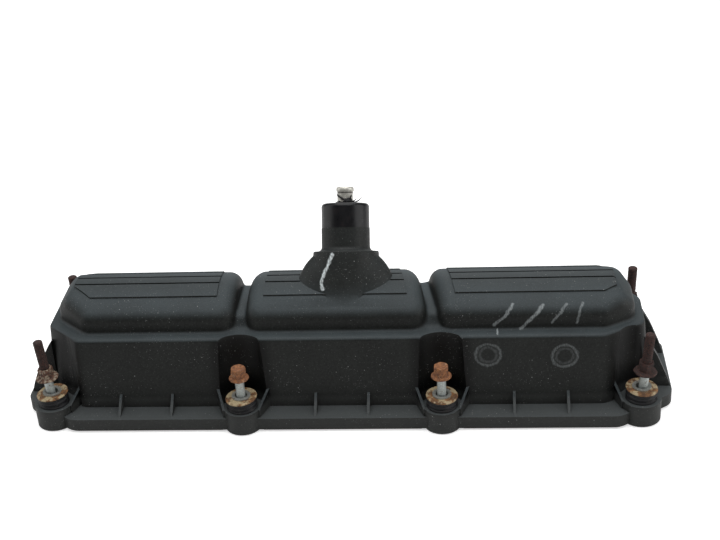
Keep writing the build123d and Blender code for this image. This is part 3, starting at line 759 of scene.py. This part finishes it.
@dataclass
class Station:
    """One fixing: its sealing stack, and the bolt or stud that it keeps.

    Heights are above the gasket's face. Along the shank they are measured from
    its tip.

    Attributes:
        name: the station's name, which the names of its nodes in model.glb carry.
        x: its place along the cover.
        y: its place across the cover.
        lean: the shank's lean to the right, in degrees.
        stud: whether a threaded stud stands on the hexagon.
        seed: seed of its wear.
        warp: lift of the washer's rim towards +X, in millimetres.
    """

    name: str
    x: float
    y: float
    lean: float
    stud: bool
    seed: int
    warp: float

    SLEEVE_MIDDLE = 12.5
    TIP_RADIUS = 2.3
    THREAD_RADIUS = 3.1
    WAIST_RADIUS = 2.95
    STUD_RADIUS = 3.25
    FLANGE_HEIGHT = 1.8
    HEAD_HEIGHT = 8.2
    STUD_TOP = 63.5

    @property
    def under_head(self) -> float:
        """Length of the shank below the head."""
        return 34.6 if self.stud else 37.4

    @property
    def flange_radius(self) -> float:
        """Radius of the head's flange."""
        return 7.5 if self.stud else 6.5

    @property
    def body(self) -> str:
        """Name of the body that the shank is."""
        return f"{'stud' if self.stud else 'bolt'}_{self.name}"

    @property
    def spindle(self) -> Spindle:
        """The shank's axis, with its tip as the origin."""
        angle = math.radians(self.lean)
        tip_z = self.TIP_RADIUS * abs(math.sin(angle))
        tip_x = self.x - (self.SLEEVE_MIDDLE - tip_z) * math.tan(angle)
        return Spindle((tip_x, self.y, tip_z), (math.sin(angle), 0.0, math.cos(angle)))

    def screw(self, name: str, rows: np.ndarray, outline: list[Pair], thread: Pair,
              pitch: float, depth: float) -> bpy.types.Object:
        """Rod with a helical thread on part of it.

        Its radius is the outline at that height, less the depth times a
        triangle wave of (height / pitch - angle / turn) between the thread's
        two heights.

        Args:
            name: the piece's name.
            rows: heights of the rows, from the foot up.
            outline: (height, radius) corners.
            thread: heights between which the thread runs.
            pitch: the thread's pitch.
            depth: the thread's depth.

        Returns:
            The piece.
        """
        angle = np.linspace(0, 2 * math.pi, 32, endpoint=False)[None, :]
        t = rows[:, None]
        radius = np.interp(rows, *np.array(outline).T)[:, None]
        wave = 2 * np.abs((t / pitch - angle / (2 * math.pi)) % 1 - 0.5)
        inside = np.clip(np.minimum(t - thread[0], thread[1] - t) / (0.6 * pitch), 0, 1)
        radius = radius - depth * wave * inside * (radius > 2.0)
        points = self.spindle.place(radius, angle + 0 * t, t + 0 * angle)
        return make_piece(name, points, grid_faces(len(rows), 32, False, True))

    def shank(self) -> bpy.types.Object:
        """The zinc-plated shank below the head."""
        top = self.under_head
        rows = np.concatenate([[0.0, 0.001], np.arange(0.25, 19.0, 0.16),
                               np.linspace(19.2, top, 13), [top + 0.3]])
        outline = [(0.0, 0.01), (0.001, self.TIP_RADIUS), (0.8, self.THREAD_RADIUS),
                   (18.5, self.THREAD_RADIUS), (19.5, self.WAIST_RADIUS), (top, self.WAIST_RADIUS),
                   (top + 0.3, 0.01)]
        piece = self.screw(f"shank_{self.name}", rows, outline, (0.4, 18.6), 1.0, 0.5)
        return dress(piece, Finish.SHANK, self.body)

    def head(self) -> bpy.types.Object:
        """Hexagon on its flange, rusted and pitted.

        The radius at an angle is the smaller of the row's own limit and the
        hexagon's: half the flats over the cosine of the angle from the middle
        of the nearest flat.
        """
        foot, top, rim = self.under_head, self.under_head + self.HEAD_HEIGHT, self.flange_radius
        rows = np.array([
            (foot, 2.9), (foot, rim - 0.5), (foot + 0.25, rim), (foot + 0.85, rim),
            (foot + 1.3, rim - 0.35), (foot + 1.8, 5.4), (foot + 2.1, 5.2), (foot + 3.4, 5.2),
            (foot + 4.8, 5.2), (foot + 6.2, 5.2), (foot + 7.3, 5.2), (foot + 7.9, 4.85),
            (top, 4.35), (top, 3.9), (top - 0.25, 3.2), (top - 0.6, 2.6), (top - 0.7, 0.01)])
        angle = np.linspace(0, 2 * math.pi, 72, endpoint=False)[None, :]
        flat = 4.4 / np.cos((angle + math.pi / 6) % (math.pi / 3) - math.pi / 6)
        limit = rows[:, 1:]
        hexed = (rows[:, :1] > foot + self.FLANGE_HEIGHT) & (limit > 3.95)
        radius = np.where(hexed, np.minimum(limit, flat), limit)
        height = rows[:, :1] + 0 * angle
        rng = np.random.default_rng(self.seed)
        pits = sum(np.sin(kx * 6 * np.cos(angle) + ky * 6 * np.sin(angle) + kz * height + phase)
                   for kx, ky, kz, phase in rng.uniform(-1, 1, (9, 4)) * (1.3, 1.3, 2.2, 3.1))
        radius = radius + 0.045 * pits * (radius > 3.5)
        points = self.spindle.place(radius, angle + 0 * height, height)
        piece = make_piece(f"head_{self.name}", points, grid_faces(len(rows), 72, False, True))
        piece.data.set_sharp_from_angle(angle=math.radians(34))
        finish = Finish.HEX
        if self.stud:
            finish = Finish.CRUST if self.x < 0 else Finish.STUD
        return dress(piece, finish, self.body,
                     (self.body,))

    def stud_top(self) -> bpy.types.Object:
        """The threaded stud on the hexagon."""
        foot, top = self.under_head + self.HEAD_HEIGHT - 0.6, self.STUD_TOP
        rows = np.concatenate([[foot], np.arange(foot + 0.2, top - 0.6, 0.16),
                               [top - 0.5, top - 0.2, top - 0.05, top]])
        outline = [(foot, self.STUD_RADIUS), (top - 0.9, self.STUD_RADIUS), (top - 0.3, 2.8),
                   (top - 0.05, 2.2), (top, 0.01)]
        thread = (foot + 1.2, top - 0.9)
        piece = self.screw(f"stud_thread_{self.name}", rows, outline, thread, 1.25, 0.4)
        return dress(piece, Finish.STUD, self.body)

    def stack(self) -> None:
        """Washer, grommet and sleeve, which stay with the cover."""
        upright = Spindle((self.x, self.y, 0.0), (0.0, 0.0, 1.0))
        washer = soften([(5.35, 22.25), (7.0, 22.22), (10.2, 22.2), (10.5, 22.6), (10.3, 23.4),
                         (9.6, 23.6), (8.4, 23.45), (7.4, 23.5), (6.4, 23.68), (5.35, 23.66)], 0.4)
        dress(upright.turn(f"worn_washer_{self.name}", washer, ripple=0.12, seed=self.seed,
                           warp=self.warp),
              Finish.WASHER, "cover", (f"washer_{self.name}",))
        grommet = soften([(5.25, 2.6), (10.2, 2.6), (10.2, 16.6), (9.1, 17.1), (9.1, 18.0),
                          (10.15, 18.6), (10.15, 19.6), (9.5, 20.1), (9.5, 20.6), (10.1, 21.1),
                          (10.0, 22.15), (5.25, 22.15)], 0.45)
        dress(upright.turn(f"lipped_grommet_{self.name}", grommet, warp=self.warp,
                           fixed=(6.2, 18.0)),
              Finish.GROMMET, "cover", (f"grommet_{self.name}",))
        polish(f"sleeve_{self.name}", Finish.SLEEVE)

    def build(self) -> None:
        """Make all the station's pieces."""
        self.shank()
        self.head()
        if self.stud:
            self.stud_top()
        self.stack()


@dataclass
class Breather:
    """Rubber cap, valve with its beaded nipple, and the torn hose on it.

    Attributes:
        spindle: the tower's axis.
    """

    UP = (0.0, 0.5, math.sqrt(0.75))
    spindle: Spindle = Spindle((2.9, -1.8, 65.7), UP)

    def torn_hose(self) -> None:
        """Ragged rubber rim round the nipple, a torn strand and whiskers.

        The rim's height over the cap is 0.9 plus four sine waves of the
        angle, and its outer radius follows the same waves.
        """
        angle = np.linspace(0, 2 * math.pi, 96, endpoint=False)[None, :]
        tear = sum(a * np.sin(k * angle + p) for k, a, p in
                   ((2, 0.5, 4.3), (5, 0.4, 1.1), (11, 0.3, 0.4), (23, 0.25, 2.0)))
        share = np.array([0.0, 0.0, 0.45, 1.0, 1.0, 0.3])[:, None]
        radius = np.array([5.37, 7.0, 6.8, 6.3, 5.7, 5.37])[:, None] + 0.25 * tear * (share > 0)
        height = 66.0 + share * np.clip(1.1 + tear, 0.15, 3.0)
        points = self.spindle.place(radius, angle + 0 * radius, height)
        rim = make_piece("torn_rim", points, grid_faces(6, 96, True, True))
        dress(rim, Finish.HOSE, "cover", ("hose_remnant",))
        strands = {
            "torn_strand": (((198, 72.2, 5.7), (232, 70.2, 7.0), (282, 67.6, 6.2)), (0.3, 0.8)),
            "torn_clump": (((268, 67.0, 6.3), (292, 68.9, 6.8), (322, 68.2, 6.0)), (1.3, 0.9)),
            "torn_tip": (((300, 68.4, 6.4), (314, 70.4, 6.6), (322, 71.6, 5.9)), (0.8, 0.25)),
            "torn_curl": (((276, 66.8, 7.4), (300, 67.9, 7.9), (332, 66.7, 7.4)), (0.9, 0.5)),
            "whisker_a": (((320, 66.4, 9.0), (327, 66.9, 11.2), (334, 69.6, 12.9)), (0.5, 0.2)),
            "whisker_b": (((306, 66.5, 7.2), (320, 67.4, 8.6), (331, 69.0, 9.8)), (0.5, 0.2)),
            "whisker_c": (((250, 66.4, 6.7), (240, 67.2, 7.6), (236, 67.0, 8.6)), (0.3, 0.12)),
        }
        for seed, (name, (stops, radii)) in enumerate(strands.items()):
            turn, height, radius = np.array(stops, float).T
            path = self.spindle.place(radius, np.radians(turn), height) / MM
            piece = tube(name, path.tolist(), radii, wobble=0.22, seed=seed)
            dress(piece, Finish.HOSE, "cover")

    def build(self) -> None:
        """Finish the cap and the valve, and add the torn hose."""
        polish("tower_cap", Finish.CAP)
        for name in ("pcv_valve_body", "pcv_inlet_disc", "pcv_pintle"):
            polish(name, Finish.VALVE)
        polish("pcv_spring", Finish.BRIGHT, 70.0)
        self.torn_hose()


@dataclass
class Studio:
    """Camera, pale floor and soft lamps.

    Attributes:
        lens: the camera's focal length in millimetres.
        place: where the camera stands, in metres.
        lamps: name, place, size and power of each soft lamp.
        glow: how much the floor is brightened for the camera alone.
        ambient: strength of the surroundings as light.
    """

    lens: float = 68.5
    place: tuple[float, float, float] = (0.090, -0.787, 0.532)
    lamps: tuple = (
        ("lamp_top", (0.0, 0.02, 1.0), 1.2, 11.0),
        ("lamp_back", (0.0, 1.0, 0.55), 1.0, 3.5),
        ("lamp_left", (-0.90, 0.05, 0.40), 0.8, 2.6),
        ("lamp_right", (0.92, -0.12, 0.36), 0.8, 3.8),
        ("lamp_front", (0.0, -0.95, 0.60), 0.7, 0.15),
    )
    glow: float = 0.55
    ambient: float = 0.08

    def camera(self) -> None:
        """Camera with the photo's view."""
        data = bpy.data.cameras.new("camera")
        data.lens = self.lens
        camera = bpy.data.objects.new("camera", data)
        axes = Matrix(((0.9962, 0.0164, 0.0850), (0.0660, 0.4916, -0.8683), (-0.0560, 0.8706, 0.4886)))
        camera.matrix_world = Matrix.Translation(self.place) @ axes.to_4x4()
        bpy.context.scene.collection.objects.link(camera)
        bpy.context.scene.camera = camera

    def lamp(self, name: str, place: tuple[float, float, float], size: float, power: float) -> None:
        """Square lamp that faces the part.

        Args:
            name: the lamp's name.
            place: where it hangs, in metres.
            size: its side in metres.
            power: its power in watts.
        """
        data = bpy.data.lights.new(name, "AREA")
        data.size, data.energy = size, power
        lamp = bpy.data.objects.new(name, data)
        aim = Vector((0.0, 0.0, 0.04)) - Vector(place)
        turn = aim.to_track_quat("-Z", "Y").to_matrix().to_4x4()
        lamp.matrix_world = Matrix.Translation(place) @ turn
        bpy.context.scene.collection.objects.link(lamp)

    def floor(self) -> None:
        """Pale floor that the camera sees as white, with a faint shadow."""
        b = Bench("floor_paper")
        shown = b.add("LightPath", {}).outputs["Is Camera Ray"]
        material = b.finish((0.86, 0.86, 0.86), 0.9)
        b.tree.links.new(b.calc("MULTIPLY", shown, self.glow), b.shader.inputs["Emission Strength"])
        b.shader.inputs["Emission Color"].default_value = (1.0, 1.0, 1.0, 1.0)
        reach = 3.0 * np.linspace(-1, 1, 9)
        x, y = np.meshgrid(reach, reach)
        floor = make_piece("floor", np.stack([x, y, 0 * x - 0.0001], axis=-1),
                           grid_faces(9, 9, False, False))
        floor.data.materials.append(material)

    def world(self) -> None:
        """Surroundings that are white to the camera and a dim grey as light."""
        world = bpy.data.worlds.new("surroundings")
        world.use_nodes = True
        tree = world.node_tree
        background = tree.nodes["Background"]
        background.inputs["Color"].default_value = (1.0, 1.0, 1.0, 1.0)
        seen = tree.nodes.new("ShaderNodeLightPath").outputs["Is Camera Ray"]
        strength = tree.nodes.new("ShaderNodeMapRange")
        strength.inputs["To Min"].default_value = self.ambient
        tree.links.new(seen, strength.inputs["Value"])
        tree.links.new(strength.outputs[0], background.inputs["Strength"])
        bpy.context.scene.world = world

    def build(self) -> None:
        """Set up the whole studio."""
        self.camera()
        for lamp in self.lamps:
            self.lamp(*lamp)
        self.floor()
        self.world()
        bpy.context.scene.view_settings.view_transform = "Standard"


STATIONS = (
    Station("front_left_end", -195.0, -43.0, -3.9, True, 11, 0.9),
    Station("front_left", -66.0, -50.0, 0.0, False, 12, 0.8),
    Station("front_right", 66.0, -50.0, 0.0, False, 13, -0.5),
    Station("front_right_end", 195.0, -43.0, 4.4, True, 14, -0.9),
    Station("rear_left_end", -195.0, 43.0, -2.0, True, 15, 0.4),
    Station("rear_left", -66.0, 50.0, 0.0, False, 16, 0.3),
    Station("rear_right", 48.0, 50.0, 0.0, False, 17, -0.3),
    Station("rear_right_end", 195.0, 43.0, 2.0, True, 18, -0.4),
)


def main() -> None:
    """Dress the cover and set up its studio."""
    logging.basicConfig(level=logging.INFO, format="%(name)s %(message)s")
    Housing().build()
    for station in STATIONS:
        station.build()
    Breather().build()
    Studio().build()


if __name__ == "__main__":
    main()
